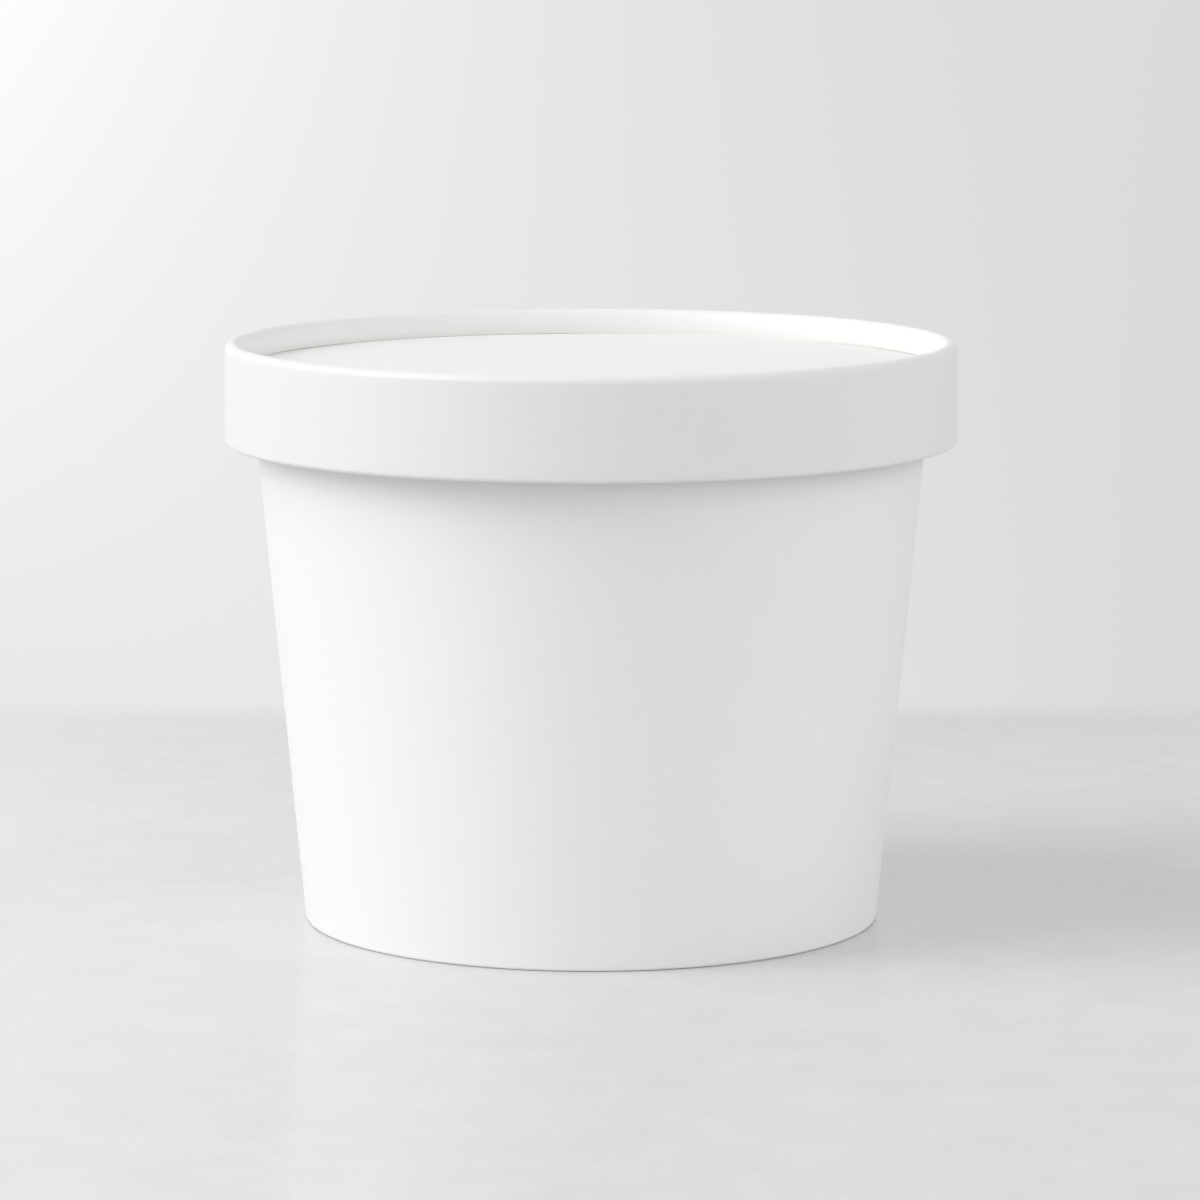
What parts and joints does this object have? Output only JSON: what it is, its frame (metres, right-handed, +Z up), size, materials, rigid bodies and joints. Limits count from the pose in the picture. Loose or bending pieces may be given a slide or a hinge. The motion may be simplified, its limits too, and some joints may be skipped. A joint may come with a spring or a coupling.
{
  "type": "paper food container",
  "caption": "Round paperboard food tub with a tapered wall, a folded foot and raised base, shut by a press-on lid with a deep band, rounded lip and recessed panel.",
  "frame": {"origin": "on the tub's axis, in the plane that the standing ring rests on", "axes": "+Z up along the tub's axis, +Y to the back, where the tub's side seam is"},
  "size_m": [0.0994, 0.0994, 0.079],
  "materials": {
    "tub_board": "satin coated white board",
    "base_board": "satin coated white board",
    "band_board": "satin coated white board",
    "panel_board": "satin coated white board"
  },
  "bodies": {
    "root": {"tub": "tub_board", "base_panel": "base_board", "lid_band": "band_board", "lid_panel": "panel_board"}
  },
  "joints": []
}
